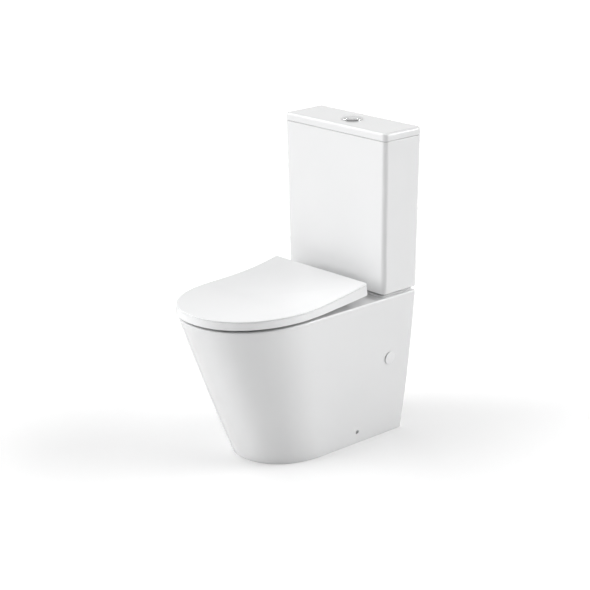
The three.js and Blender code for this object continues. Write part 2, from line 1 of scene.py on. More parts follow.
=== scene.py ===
import json
from math import sin, cos, pi, radians, copysign, atan
import bpy
import bmesh
from mathutils import Vector, Matrix


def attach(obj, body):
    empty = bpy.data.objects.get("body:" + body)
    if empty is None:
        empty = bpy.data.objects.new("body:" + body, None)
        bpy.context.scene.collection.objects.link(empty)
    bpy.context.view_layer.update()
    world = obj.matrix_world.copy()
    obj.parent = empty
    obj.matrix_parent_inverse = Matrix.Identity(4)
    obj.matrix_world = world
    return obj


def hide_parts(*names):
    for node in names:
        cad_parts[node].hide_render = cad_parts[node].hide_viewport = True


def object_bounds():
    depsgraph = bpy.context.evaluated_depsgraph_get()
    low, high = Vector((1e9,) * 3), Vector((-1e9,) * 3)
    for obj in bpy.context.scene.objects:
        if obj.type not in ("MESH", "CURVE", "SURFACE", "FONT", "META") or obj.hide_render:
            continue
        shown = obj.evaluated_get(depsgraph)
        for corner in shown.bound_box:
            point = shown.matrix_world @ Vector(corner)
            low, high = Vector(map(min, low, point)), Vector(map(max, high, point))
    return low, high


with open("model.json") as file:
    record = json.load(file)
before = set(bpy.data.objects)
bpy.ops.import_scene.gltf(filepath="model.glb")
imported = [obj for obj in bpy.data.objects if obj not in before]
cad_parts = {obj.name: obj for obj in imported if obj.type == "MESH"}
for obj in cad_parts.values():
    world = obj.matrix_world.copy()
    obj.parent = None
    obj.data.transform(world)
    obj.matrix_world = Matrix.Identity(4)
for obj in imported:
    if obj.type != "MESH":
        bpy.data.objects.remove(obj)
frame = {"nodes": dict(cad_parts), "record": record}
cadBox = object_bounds()

# Lengths in the dictionaries are millimetres. Those along Y are counted from the wall face.
mm = 0.001
wallY = cadBox[1][1] / mm
gap = 0.3      # between two pieces that touch
over = 2       # how far a cutting shape passes the surface it cuts


def mix(a, b, t):
    return a + (b - a) * t


def smoothStep(t):
    t = min(max(t, 0.0), 1.0)
    return t * t * (3 - 2 * t)


print("frame loaded, box", [round(high - low, 4) for low, high in zip(*cadBox)])


# camera and light

camera = {
    "place": (3.220, -3.000, 1.848),
    "azimuth": 46.65, "elevation": 18.02, "roll": -0.13,
    "lens": 109.04, "sensor": 36.0,
}


def aimCamera(values):
    az, el, roll = (radians(values[key]) for key in ("azimuth", "elevation", "roll"))
    back = Vector((sin(az) * cos(el), -cos(az) * cos(el), sin(el)))
    right = Vector((cos(az), sin(az), 0))
    up = back.cross(right)
    turnedRight = cos(roll) * right + sin(roll) * up
    turnedUp = cos(roll) * up - sin(roll) * right
    data = bpy.data.cameras.new("camera")
    data.lens, data.sensor_width, data.clip_end = values["lens"], values["sensor"], 40
    eye = bpy.data.objects.new("camera", data)
    axes = Matrix((turnedRight, turnedUp, back)).transposed().to_4x4()
    eye.matrix_world = Matrix.Translation(values["place"]) @ axes
    bpy.context.scene.collection.objects.link(eye)
    bpy.context.scene.camera = eye


# azimuth and elevation of each lamp seen from the toilet, its strength and how wide it looks;
# the glints are seen only in the glaze, the others only light it
lamps = {
    "keyFront": {"azimuth": -32, "elevation": 19, "power": 1.9, "spread": 45},
    "edgeLeft": {"azimuth": -95, "elevation": 14, "power": 0.92, "spread": 50},
    "rimRight": {"azimuth": 138, "elevation": 25, "power": 1.8, "spread": 50},
    "overhead": {"azimuth": 0, "elevation": 84, "power": 0.50, "spread": 60},
    "glintRight": {"azimuth": 141, "elevation": 34, "power": 0.7, "spread": 22},
    "glintFront": {"azimuth": -82, "elevation": 46, "power": 0.5, "spread": 18},
}

# tones are strengths of light; gap heights are sines of the elevation; glow distances are metres
studio = {
    "sky": 0.752, "skyFront": 0.13, "frontAzimuth": 45, "frontFrom": -0.2, "frontTo": 0.7,
    "rearTone": 0.15, "rearFrom": -0.95, "rearTo": -0.3,
    "gapLow": 0.50, "gapHigh": 0.80, "gapTone": 0.25, "gapEdge": 0.06,
    "backdrop": 1.0, "floorReach": 14, "floorRoughness": 0.6, "floorSpecular": 0.1,
    "floorTone": 0.93, "floorBounce": 0.75,
    # the floor's glow is painted light: it rises away from the toilet and whitens the lamps' long shadows on
    # the floor
    "floorGlow": 0.055, "farGlow": 0.16, "glowFrom": 0.45, "glowTo": 1.1,
}


def remap(nodes, source, limits, interpolation="LINEAR"):
    node = nodes.new("ShaderNodeMapRange")
    node.interpolation_type = interpolation
    for label, value in zip(("From Min", "From Max", "To Min", "To Max"), limits):
        node.inputs[label].default_value = value
    node.id_data.links.new(source, node.inputs["Value"])
    return node.outputs["Result"]


def forCamera(nodes, seen, others):
    # one shader for what the camera sees directly, the other for all other rays
    path, choose = nodes.new("ShaderNodeLightPath"), nodes.new("ShaderNodeMixShader")
    links = choose.id_data.links
    links.new(path.outputs["Is Camera Ray"], choose.inputs["Fac"])
    links.new(others.outputs[0], choose.inputs[1])
    links.new(seen.outputs[0], choose.inputs[2])
    return choose.outputs[0]


def wallTone(nodes, direction, facing):
    # the glaze mirrors a dark gap between the wall panels and the ceiling panel;
    # for all other rays the rear of the studio is dimmer than it looks in the glaze
    links = nodes.id_data.links
    split, ramp = nodes.new("ShaderNodeSeparateXYZ"), nodes.new("ShaderNodeValToRGB")
    links.new(direction, split.inputs[0])
    links.new(split.outputs["Z"], ramp.inputs["Fac"])
    low, high, tone, edge = (studio[key] for key in ("gapLow", "gapHigh", "gapTone", "gapEdge"))
    stops = ramp.color_ramp.elements
    stops[0].position, stops[1].position = low, high + edge
    for place in (low + edge, high):
        stops.new(place).color = (tone, tone, tone, 1)
    stops[0].color = stops[3].color = (1, 1, 1, 1)
    path, choose = nodes.new("ShaderNodeLightPath"), nodes.new("ShaderNodeMix")
    choose.data_type = "RGBA"
    rear = remap(nodes, facing, (studio["rearFrom"], studio["rearTo"], studio["rearTone"], 1))
    links.new(path.outputs["Is Glossy Ray"], choose.inputs["Factor"])
    links.new(rear, choose.inputs["A"])
    links.new(ramp.outputs["Color"], choose.inputs["B"])
    return choose.outputs["Result"]


def hangLamps():
    for name, values in lamps.items():
        az, el = radians(values["azimuth"]), radians(values["elevation"])
        data = bpy.data.lights.new(name, "SUN")
        data.energy, data.angle = values["power"], radians(values["spread"])
        lamp = bpy.data.objects.new(name, data)
        away = Vector((sin(az) * cos(el), -cos(az) * cos(el), sin(el)))
        lamp.location = 3 * away
        lamp.visible_glossy = name.startswith("glint")
        lamp.visible_diffuse = not lamp.visible_glossy
        lamp.rotation_euler = away.to_track_quat("Z", "Y").to_euler()
        bpy.context.scene.collection.objects.link(lamp)


def lightWorld():
    world = bpy.data.worlds.new("studio")
    bpy.context.scene.world = world
    world.use_nodes = True
    nodes, links = world.node_tree.nodes, world.node_tree.links
    nodes.clear()
    place, facing = nodes.new("ShaderNodeTexCoord"), nodes.new("ShaderNodeVectorMath")
    front = radians(studio["frontAzimuth"])
    facing.operation = "DOT_PRODUCT"
    facing.inputs[1].default_value = (sin(front), -cos(front), 0)
    links.new(place.outputs["Generated"], facing.inputs[0])
    limits = [studio[key] for key in ("frontFrom", "frontTo", "sky", "skyFront")]
    lit, seen = nodes.new("ShaderNodeBackground"), nodes.new("ShaderNodeBackground")
    links.new(remap(nodes, facing.outputs["Value"], limits, "SMOOTHSTEP"), lit.inputs["Strength"])
    tone = wallTone(nodes, place.outputs["Generated"], facing.outputs["Value"])
    links.new(tone, lit.inputs["Color"])
    seen.inputs["Color"].default_value = (1, 1, 1, 1)
    seen.inputs["Strength"].default_value = studio["backdrop"]
    output = nodes.new("ShaderNodeOutputWorld")
    links.new(forCamera(nodes, seen, lit), output.inputs["Surface"])


def layFloor():
    mesh = bpy.data.meshes.new("floor")
    reach = studio["floorReach"]
    corners = [(-reach, -reach, 0), (reach, -reach, 0), (reach, reach, 0), (-reach, reach, 0)]
    mesh.from_pydata(corners, [], [(0, 1, 2, 3)])
    floor = bpy.data.objects.new("floor", mesh)
    bpy.context.scene.collection.objects.link(floor)
    paint = bpy.data.materials.new("paleFloor")
    paint.use_nodes = True
    nodes, links = paint.node_tree.nodes, paint.node_tree.links
    seen, bounced = nodes["Principled BSDF"], nodes.new("ShaderNodeBsdfPrincipled")
    for shader, tone in ((seen, studio["floorTone"]), (bounced, studio["floorBounce"])):
        shader.inputs["Base Color"].default_value = (tone, tone, tone, 1)
        shader.inputs["Roughness"].default_value = studio["floorRoughness"]
        shader.inputs["Specular IOR Level"].default_value = studio["floorSpecular"]
    # painted light: for the camera the floor glows, weakly near the toilet and more strongly away from it,
    # which washes out the lamps' long shadows there
    place, distance = nodes.new("ShaderNodeNewGeometry"), nodes.new("ShaderNodeVectorMath")
    distance.operation = "LENGTH"
    links.new(place.outputs["Position"], distance.inputs[0])
    limits = [studio[key] for key in ("glowFrom", "glowTo", "floorGlow", "farGlow")]
    glow = remap(nodes, distance.outputs["Value"], limits, "SMOOTHSTEP")
    seen.inputs["Emission Color"].default_value = (1, 1, 1, 1)
    links.new(glow, seen.inputs["Emission Strength"])
    links.new(forCamera(nodes, seen, bounced), nodes["Material Output"].inputs["Surface"])
    mesh.materials.append(paint)


aimCamera(camera)
hangLamps()
lightWorld()
layFloor()
bpy.context.scene.view_settings.view_transform = "Standard"
print("camera, lights and floor ready")


# shader groups shared by the finishes

# scale, detail, roughness and distortion
noises = {
    "pooling": (3.2, 3), "cloud": (11, 4), "peel": (42, 2, 0.4),
    "grain": (900, 2), "flow": (6, 2), "scuffs": (30, 8, 0.5, 2.5),
    "hair": (260, 3), "hands": (24, 4),
}

# the share that each mark has in the tone, the roughness and the height
shares = {
    "pinScale": 60, "pinRange": (0.0, 0.03, 1.0, 0.0), "pinTone": 0.5, "pinRoughness": 0.1, "cloud": 0.06,
    "scuffRange": (0.60, 0.74, 0.0, 1.0), "scuffTone": 0.3, "scuffRoughness": 0.12,
    "flowRoughness": 0.05, "flowHeight": 0.5,
    "hairStretch": 14, "hairTone": 0.3, "hairRoughness": 0.1, "handsRoughness": 0.2, "toneMiddle": 0.6,
}


def newGroup(name, *controls):
    # every group takes strengths and puts out a tone, an added roughness and a height
    group = bpy.data.node_groups.new(name, "ShaderNodeTree")

    def socket(label, direction):
        return group.interface.new_socket(name=label, in_out=direction, socket_type="NodeSocketFloat")

    for label in controls:
        socket(label, "INPUT").default_value = 1.0
    for label in ("Tone", "Roughness", "Height"):
        socket(label, "OUTPUT")
    return group, group.nodes.new("NodeGroupInput").outputs, group.nodes.new("NodeGroupOutput").inputs


def noise(tree, place, scale, detail, roughness=0.5, distortion=0.0):
    node = tree.nodes.new("ShaderNodeTexNoise")
    values = {"Scale": scale, "Detail": detail, "Roughness": roughness, "Distortion": distortion}
    for label, value in values.items():
        node.inputs[label].default_value = value
    tree.links.new(place, node.inputs["Vector"])
    return node.outputs["Fac"]


def maths(tree, operation, first, second):
    node = tree.nodes.new("ShaderNodeMath")
    node.operation = operation
    for socket, value in zip(node.inputs, (first, second)):
        if isinstance(value, (int, float)):
            socket.default_value = value
        else:
            tree.links.new(value, socket)
    return node.outputs[0]


def times(tree, first, second):
    return maths(tree, "MULTIPLY", first, second)


def plus(tree, first, second):
    return maths(tree, "ADD", first, second)


def centred(tree, value, strength):
    # noise turned into a value on both sides of nought
    return times(tree, maths(tree, "SUBTRACT", value, 0.5), strength)


def glazeGroup():
    # slow pooling of the glaze, orange peel and a few pin holes, all in object space
    group, control, result = newGroup("glazeDetail", "Pooling", "Ripple", "Specks")
    place = group.nodes.new("ShaderNodeTexCoord").outputs["Object"]
    pins = group.nodes.new("ShaderNodeTexVoronoi")
    pins.inputs["Scale"].default_value = shares["pinScale"]
    group.links.new(place, pins.inputs["Vector"])
    near = remap(group.nodes, pins.outputs["Distance"], shares["pinRange"])
    speck = times(group, near, control["Specks"])
    slow = centred(group, noise(group, place, *noises["pooling"]), control["Pooling"])
    rough = centred(group, noise(group, place, *noises["cloud"]), shares["cloud"])
    wave = times(group, noise(group, place, *noises["peel"]), control["Ripple"])
    group.links.new(maths(group, "SUBTRACT", slow, times(group, speck, shares["pinTone"])), result["Tone"])
    group.links.new(plus(group, rough, times(group, speck, shares["pinRoughness"])), result["Roughness"])
    group.links.new(maths(group, "SUBTRACT", plus(group, wave, slow), speck), result["Height"])
    return group


def mouldGroup():
    # fine moulding grain, slow flow marks and light scuffs
    group, control, result = newGroup("mouldDetail", "Grain", "Flow", "Scuffs")
    place = group.nodes.new("ShaderNodeTexCoord").outputs["Object"]
    marks = remap(group.nodes, noise(group, place, *noises["scuffs"]), shares["scuffRange"])
    worn = times(group, marks, control["Scuffs"])
    slow = centred(group, noise(group, place, *noises["flow"]), control["Flow"])
    fine = times(group, noise(group, place, *noises["grain"]), control["Grain"])
    group.links.new(maths(group, "SUBTRACT", slow, times(group, worn, shares["scuffTone"])), result["Tone"])
    rough = times(group, slow, shares["flowRoughness"]), times(group, worn, shares["scuffRoughness"])
    group.links.new(plus(group, *rough), result["Roughness"])
    group.links.new(plus(group, fine, times(group, slow, shares["flowHeight"])), result["Height"])
    return group


def brushedGroup():
    # hair lines across the metal, with hand marks
    group, control, result = newGroup("metalDetail", "Lines", "Marks")
    place = group.nodes.new("ShaderNodeTexCoord").outputs["Object"]
    stretch = group.nodes.new("ShaderNodeMapping")
    stretch.inputs["Scale"].default_value = (1, 1, shares["hairStretch"])
    group.links.new(place, stretch.inputs["Vector"])
    hair = centred(group, noise(group, stretch.outputs["Vector"], *noises["hair"]), control["Lines"])
    smear = centred(group, noise(group, place, *noises["hands"]), control["Marks"])
    group.links.new(plus(group, times(group, hair, shares["hairTone"]), smear), result["Tone"])
    rough = times(group, hair, shares["hairRoughness"]), times(group, smear, shares["handsRoughness"])
    group.links.new(plus(group, *rough), result["Roughness"])
    group.links.new(hair, result["Height"])
    return group


detailGroups = {"glaze": glazeGroup(), "mould": mouldGroup(), "metal": brushedGroup()}


# light and dark are the two ends of the colour; bump is in metres
finishes = {
    "glazed_china": {
        "group": "glaze", "values": {"Pooling": 1.0, "Ripple": 0.25, "Specks": 0.3},
        "dark": (0.80, 0.805, 0.81), "light": (0.86, 0.862, 0.865), "spread": 1.2,
        "roughness": 0.14, "bump": 0.00006, "coat": 1.0, "coatRoughness": 0.03, "ior": 1.52,
    },
    "seat_plastic": {
        "group": "mould", "values": {"Grain": 0.02, "Flow": 1.0, "Scuffs": 0.25},
        "dark": (0.83, 0.834, 0.84), "light": (0.885, 0.888, 0.892), "spread": 1.2,
        "roughness": 0.10, "bump": 0.00003, "coat": 0.5, "coatRoughness": 0.03, "ior": 1.5,
    },
    "valve_plastic": {
        "group": "mould", "values": {"Grain": 0.5, "Flow": 1.0, "Scuffs": 1.0},
        "dark": (0.62, 0.63, 0.64), "light": (0.74, 0.75, 0.755), "spread": 1.4,
        "roughness": 0.46, "bump": 0.00012, "coat": 0.0, "coatRoughness": 0.2, "ior": 1.49,
    },
    "blue_plastic": {
        "group": "mould", "values": {"Grain": 0.5, "Flow": 1.0, "Scuffs": 1.0},
        "dark": (0.07, 0.16, 0.30), "light": (0.12, 0.25, 0.42), "spread": 1.4,
        "roughness": 0.44, "bump": 0.00012, "coat": 0.0, "coatRoughness": 0.2, "ior": 1.49,
    },
    "black_rubber": {
        "group": "mould", "values": {"Grain": 1.0, "Flow": 1.0, "Scuffs": 1.4},
        "dark": (0.012, 0.012, 0.013), "light": (0.035, 0.035, 0.037), "spread": 1.2,
        "roughness": 0.72, "bump": 0.0002, "coat": 0.0, "coatRoughness": 0.3, "ior": 1.52,
    },
    "clear_rubber": {
        "group": "mould", "values": {"Grain": 0.6, "Flow": 1.0, "Scuffs": 0.6},
        "dark": (0.60, 0.61, 0.61), "light": (0.74, 0.745, 0.745), "spread": 1.2,
        "roughness": 0.38, "bump": 0.0001, "coat": 0.0, "coatRoughness": 0.2, "ior": 1.45,
    },
    "chrome": {
        "group": "metal", "values": {"Lines": 0.03, "Marks": 0.4},
        "dark": (0.88, 0.885, 0.89), "light": (0.96, 0.962, 0.965), "spread": 0.8,
        "roughness": 0.06, "bump": 0.00001, "metal": 1.0, "coat": 0.0, "coatRoughness": 0.1, "ior": 1.5,
    },
    "steel": {
        "group": "metal", "values": {"Lines": 0.8, "Marks": 1.0},
        "dark": (0.42, 0.42, 0.43), "light": (0.62, 0.625, 0.63), "spread": 1.0,
        "roughness": 0.28, "bump": 0.00006, "metal": 1.0, "coat": 0.0, "coatRoughness": 0.1, "ior": 1.5,
    },
}


def makeFinish(name, values):
    paint = bpy.data.materials.new(name)
    paint.use_nodes = True
    tree = paint.node_tree
    shader = tree.nodes["Principled BSDF"]
    shader.inputs["Metallic"].default_value = values.get("metal", 0.0)
    shader.inputs["IOR"].default_value = values["ior"]
    shader.inputs["Coat Weight"].default_value = values["coat"]
    shader.inputs["Coat Roughness"].default_value = values["coatRoughness"]
    detail = tree.nodes.new("ShaderNodeGroup")
    detail.node_tree = detailGroups[values["group"]]
    for label, value in values["values"].items():
        detail.inputs[label].default_value = value
    tone = plus(tree, times(tree, detail.outputs["Tone"], values["spread"]), shares["toneMiddle"])
    ramp = tree.nodes.new("ShaderNodeValToRGB")
    ramp.color_ramp.elements[0].color = (*values["dark"], 1)
    ramp.color_ramp.elements[1].color = (*values["light"], 1)
    tree.links.new(tone, ramp.inputs["Fac"])
    tree.links.new(ramp.outputs["Color"], shader.inputs["Base Color"])
    roughness = plus(tree, detail.outputs["Roughness"], values["roughness"])
    tree.links.new(roughness, shader.inputs["Roughness"])
    bump = tree.nodes.new("ShaderNodeBump")
    bump.inputs["Strength"].default_value = 1.0
    bump.inputs["Distance"].default_value = values["bump"]
    tree.links.new(detail.outputs["Height"], bump.inputs["Height"])
    tree.links.new(bump.outputs["Normal"], shader.inputs["Normal"])
    return paint


materials = {name: makeFinish(name, values) for name, values in finishes.items()}
print("finishes made:", ", ".join(materials))


# mesh helpers

# of the superellipse that the pan, the seat ring and the seat lid share
nosePower = 2.15


def quarterTurns(steps):
    return [pi / 2 * i / steps for i in range(steps + 1)]


def outlineNose(half, rear, bend, nose, corner, rearHalf=None, steps=96, sideSteps=24, cornerSteps=8):
    # straight sides, rounded rear corners and a superellipse nose, anticlockwise
    def bulge(v):
        return copysign(abs(v) ** (2 / nosePower), v)

    rearHalf = half if rearHalf is None else rearHalf
    points = []
    for i in range(steps + 1):
        angle = pi * (1 + i / steps)
        points.append((half * bulge(cos(angle)), bend + (bend - nose) * bulge(sin(angle))))
    side = [(mix(half, rearHalf, smoothStep(t / 0.7)), mix(bend, rear - corner, t))
            for t in [i / (sideSteps + 1) for i in range(1, sideSteps + 1)]]
    points += side
    for start, centre in ((0, rearHalf - corner), (pi / 2, corner - rearHalf)):
        for turn in quarterTurns(cornerSteps):
            angle = start + turn
            points.append((centre + corner * cos(angle), rear - corner + corner * sin(angle)))
    points += [(-x, y) for x, y in reversed(side)]
    return points


def outlineOval(half, front, rear, steps=96):
    return [(half * cos(2 * pi * i / steps), mix(front, rear, 0.5 + 0.5 * sin(2 * pi * i / steps)))
            for i in range(steps)]


def outlineBox(half, front, rear, corner, cornerSteps=10, sideSteps=12):
    points = []
    centres = ((half - corner, rear - corner), (corner - half, rear - corner),
               (corner - half, front + corner), (half - corner, front + corner))
    for quarter, (x, y) in enumerate(centres):
        for i in range(cornerSteps + 1):
            angle = pi / 2 * (quarter + i / cornerSteps)
            points.append((x + corner * cos(angle), y + corner * sin(angle)))
        nextX, nextY = centres[(quarter + 1) % 4]
        turn = pi / 2 * (quarter + 1)
        start, end = points[-1], (nextX + corner * cos(turn), nextY + corner * sin(turn))
        points += [(mix(start[0], end[0], i / sideSteps), mix(start[1], end[1], i / sideSteps))
                   for i in range(1, sideSteps)]
    return points


def fillet(edge, radius, inwards, steps=5):
    # (height, inset) pairs round an edge: inwards is 1 at the top of a piece and -1 at its foot
    pairs = [(edge - inwards * radius * (1 - sin(a)), radius * (1 - cos(a))) for a in quarterTurns(steps)]
    return pairs if inwards > 0 else pairs[::-1]


def atHeight(outline, z):
    return [(x, y, z) for x, y in outline]


def loftMesh(rings):
    count = len(rings[0])
    vertices = [p for ring in rings for p in ring]
    faces = []
    for low in range(0, len(vertices) - count, count):
        high = low + count
        for i in range(count):
            j = (i + 1) % count
            faces.append([low + i, low + j, high + j, high + i])
    faces.append(list(range(count))[::-1])
    faces.append(list(range(len(vertices) - count, len(vertices))))
    return vertices, faces


def lathe(profile, x=0.0, y=0.0, segments=64):
    # profile of (radius, height) going up the outside, closed on the axis or on itself
    vertices, rows = [], []
    closed = profile[0] == profile[-1]
    for radius, z in profile[:-1] if closed else profile:
        if radius == 0:
            rows.append([len(vertices)])
            vertices.append((x, y, z))
            continue
        rows.append(list(range(len(vertices), len(vertices) + segments)))
        vertices += [(x + radius * cos(2 * pi * i / segments), y + radius * sin(2 * pi * i / segments), z)
                     for i in range(segments)]
    faces = []
    pairs = list(zip(rows, rows[1:])) + ([(rows[-1], rows[0])] if closed else [])
    for low, high in pairs:
        for i in range(segments):
            j = (i + 1) % segments
            corners = [low[i % len(low)], low[j % len(low)], high[j % len(high)], high[i % len(high)]]
            faces.append(list(dict.fromkeys(corners)))
    return vertices, faces


def rounded(profile, radius, steps=4):
    # the same profile with its corners turned into small arcs
    points = []
    closed = profile[0] == profile[-1]
    body = profile[:-1] if closed else profile
    for i, corner in enumerate(body):
        if not closed and i in (0, len(body) - 1):
            points.append(corner)
            continue
        here = Vector(corner)
        before, after = Vector(body[i - 1]) - here, Vector(body[(i + 1) % len(body)]) - here
        reach = min(radius, before.length * 0.45, after.length * 0.45)
        start, end = here + before.normalized() * reach, here + after.normalized() * reach
        for k in range(steps + 1):
            t = k / steps
            points.append(tuple((1 - t) ** 2 * start + 2 * t * (1 - t) * here + t * t * end))
    return points + [points[0]] if closed else points


def ringProfile(inner, outer, low, high):
    return [(inner, low), (outer, low), (outer, high), (inner, high), (inner, low)]


def discProfile(radius, low, high):
    return [(0, low), (radius, low), (radius, high), (0, high)]


def rodAlongZ(radius, z0, z1, x, y, segments=64):
    return lathe(discProfile(radius, z0, z1), x, y, segments)


def rodAlongX(radius, x0, x1, y, z, segments=48, edge=0.5):
    vertices, faces = lathe(rounded(discProfile(radius, x0, x1), edge), segments=segments)
    return [(height, a + y, b + z) for a, b, height in vertices], faces


def blockMesh(x0, x1, y0, y1, z0, z1):
    ring = [(x1, y1), (x0, y1), (x0, y0), (x1, y0)]
    return loftMesh([atHeight(ring, z0), atHeight(ring, z1)])


def between(a, b, c, d, t):
    # a smooth run from b to c that heeds the values before and after them
    return 0.5 * (2 * b + (c - a) * t + (2 * a - 5 * b + 4 * c - d) * t * t
                  + (3 * b - a - 3 * c + d) * t ** 3)


def pipeMesh(route, radius, segments=40, steps=8):
    # round bar through (y, z) points in the middle plane, on a smooth curve
    points = [Vector((0, y, z)) for y, z in route]
    padded = [2 * points[0] - points[1], *points, 2 * points[-1] - points[-2]]
    line = [between(*padded[i:i + 4], k / steps) for i in range(len(points) - 1) for k in range(steps)]
    line.append(points[-1])
    turns = [2 * pi * k / segments for k in range(segments)]
    across = Vector((1, 0, 0))
    rings = []
    for i, point in enumerate(line):
        along = (line[min(i + 1, len(line) - 1)] - line[max(i - 1, 0)]).normalized()
        third = along.cross(across)
        rings.append([tuple(point + radius * (cos(a) * across + sin(a) * third)) for a in turns])
    return loftMesh(rings)


def newObject(name, shape):
    # millimetres from the wall face become metres in the frame; faces are turned outwards
    vertices, faces = shape
    mesh = bpy.data.meshes.new(name)
    mesh.from_pydata([(x * mm, (y + wallY) * mm, z * mm) for x, y, z in vertices], [], faces)
    work = bmesh.new()
    work.from_mesh(mesh)
    bmesh.ops.remove_doubles(work, verts=work.verts, dist=1e-7)
    bmesh.ops.recalc_face_normals(work, faces=work.faces)
    if work.calc_volume(signed=True) < 0:
        bmesh.ops.reverse_faces(work, faces=work.faces)
    work.to_mesh(mesh)
    work.free()
    piece = bpy.data.objects.new(name, mesh)
    bpy.context.scene.collection.objects.link(piece)
    return piece


def combine(base, operation, *shapes):
    # joins or cuts shapes into the piece and keeps the result as its mesh
    for shape in shapes:
        tool = newObject("tool", shape)
        step = base.modifiers.new("step", "BOOLEAN")
        step.object, step.operation, step.solver = tool, operation, "MANIFOLD"
        result = bpy.data.meshes.new_from_object(base.evaluated_get(bpy.context.evaluated_depsgraph_get()))
        base.modifiers.clear()
        old, base.data = base.data, result
        bpy.data.meshes.remove(old)
        bpy.data.meshes.remove(tool.data)
    return base


def finishPiece(piece, material, body, nodes, sharpAngle=38, weighted=True):
    mesh = piece.data
    mesh.name = piece.name
    mesh.materials.clear()
    mesh.materials.append(materials[material])
    mesh.shade_smooth()
    mesh.set_sharp_from_angle(angle=radians(sharpAngle))
    if weighted:
        even = piece.modifiers.new("evenNormals", "WEIGHTED_NORMAL")
        even.keep_sharp, even.weight = True, 60
    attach(piece, body)
    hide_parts(*nodes)
    return piece


# pan

pan = {
    "height": 403, "wall": 12, "deck": 20, "corner": 9, "rimRound": 4.5, "footRound": 1.5,
    "halfTop": 176, "halfFloor": 129, "sideBulge": 0.4,
    "bendTop": -400, "bendFloor": -300,
    "noseTop": -622, "noseFloor": -457, "noseBulge": 0.08,
    "backHalf": 95, "backTop": 330, "backRound": 14,
    "plinthHalf": 165, "plinthFront": -120, "plinthRise": 5, "plinthCorner": 12, "plinthRound": 1.8,
    "bowlWall": 11, "bowlLip": 7,
    # height, half width, front and rear of the inside of the bowl
    "bowlLevels": [(112, 30, -382, -322), (150, 38, -398, -308), (195, 52, -440, -290), (245, 82, -503, -266),
                   (305, 109, -551, -243), (370, 123, -575, -230), (396, 118.6, -570.6, -231.6)],
    "trapBore": 28, "trapWall": 9, "outletHeight": 185,
    "trapRoute": [(-352, 200), (-352, 160), (-338, 130), (-308, 118), (-278, 130), (-258, 165), (-240, 205),
                  (-205, 232), (-168, 218), (-135, 192), (-95, 185), (-50, 185)],
    "flushBore": 24, "flushWall": 9,
    "flushRoute": [(-64, 374), (-96, 352), (-160, 335)], "flushHeight": 335,
    "inletY": -64, "inletRecess": 47, "recessFloor": 388, "recessRound": 2, "bossRadius": 57, "bossFoot": 370,
    "boltX": 85, "boltHole": 6, "studX": 75, "studY": -200, "studHole": 7, "fillX": -135, "fillHole": 16,
    "capY": -82, "capZ": 228, "capHole": 15, "screwY": -175, "screwZ": 34, "screwHole": 5.6,
    # rounding under the deck, ends of the pipes at the rear and in the bowl, reach of the cuts along X and Y
    "deckRound": 8, "trapRear": -6, "flushFront": -232, "boreFront": -262,
    "capReach": (110, 200), "screwReach": (95, 160), "backReach": (-22, 2),
}


def bowed(t, bulge):
    return t + bulge * t * (1 - t)


def panOutline(z, inset, **steps):
    t = z / pan["height"]
    return outlineNose(mix(pan["halfFloor"], pan["halfTop"], bowed(t, pan["sideBulge"])) - inset, -inset,
                       mix(pan["bendFloor"], pan["bendTop"], t),
                       mix(pan["noseFloor"], pan["noseTop"], bowed(t, pan["noseBulge"])) + inset,
                       max(pan["corner"] - inset, 3), **steps)


def smoothRows(rows, steps):
    # a smooth run of values through the given rows
    padded = [rows[0], *rows, rows[-1]]
    result = []
    for i in range(len(rows) - 1):
        for k in range(steps):
            result.append(tuple(between(*values, k / steps) for values in zip(*padded[i:i + 4])))
    return result + [tuple(rows[-1])]


def bowlForm(extra):
    # the inside flares into a rounded lip at the rim; the outside stops under it
    rings = []
    for z, half, front, rear in smoothRows(pan["bowlLevels"], 5):
        height = z - extra if z == pan["bowlLevels"][0][0] else z
        rings.append(atHeight(outlineOval(half + extra, front - extra, rear + extra), height))
    z, half, front, rear = pan["bowlLevels"][-1]
    if not extra:
        lip = pan["bowlLip"]
        for turn in quarterTurns(6)[1:]:
            out = lip * (1 - cos(turn))
            rings.append(atHeight(outlineOval(half + out, front - out, rear + out), z + lip * sin(turn)))
        rings.append(atHeight(outlineOval(half + lip, front - lip, rear + lip), z + lip + 3 * over))
    return loftMesh(rings)


def panHull(levels, extra=0, **steps):
    return loftMesh([atHeight(panOutline(z, extra + inset, **steps), z) for z, inset in levels])


def backOpening():
    half, top, bend = pan["backHalf"], pan["backTop"], pan["backRound"]
    arch = [(half - bend + bend * cos(a), top - bend + bend * sin(a)) for a in quarterTurns(6)]
    arch = [(half, -over), *arch, *[(-x, z) for x, z in reversed(arch)], (-half, -over)]
    return loftMesh([[(x, y, z) for x, z in arch] for y in pan["backReach"]])


def plinthForm(height, rise):
    levels = [(height - 3, 0), (height + 1, 0), *fillet(rise, pan["plinthRound"], 1, 4)]
    return loftMesh([atHeight(outlineBox(pan["plinthHalf"] - inset, pan["plinthFront"] + inset, -over,
                                         pan["plinthCorner"]), z) for z, inset in levels])


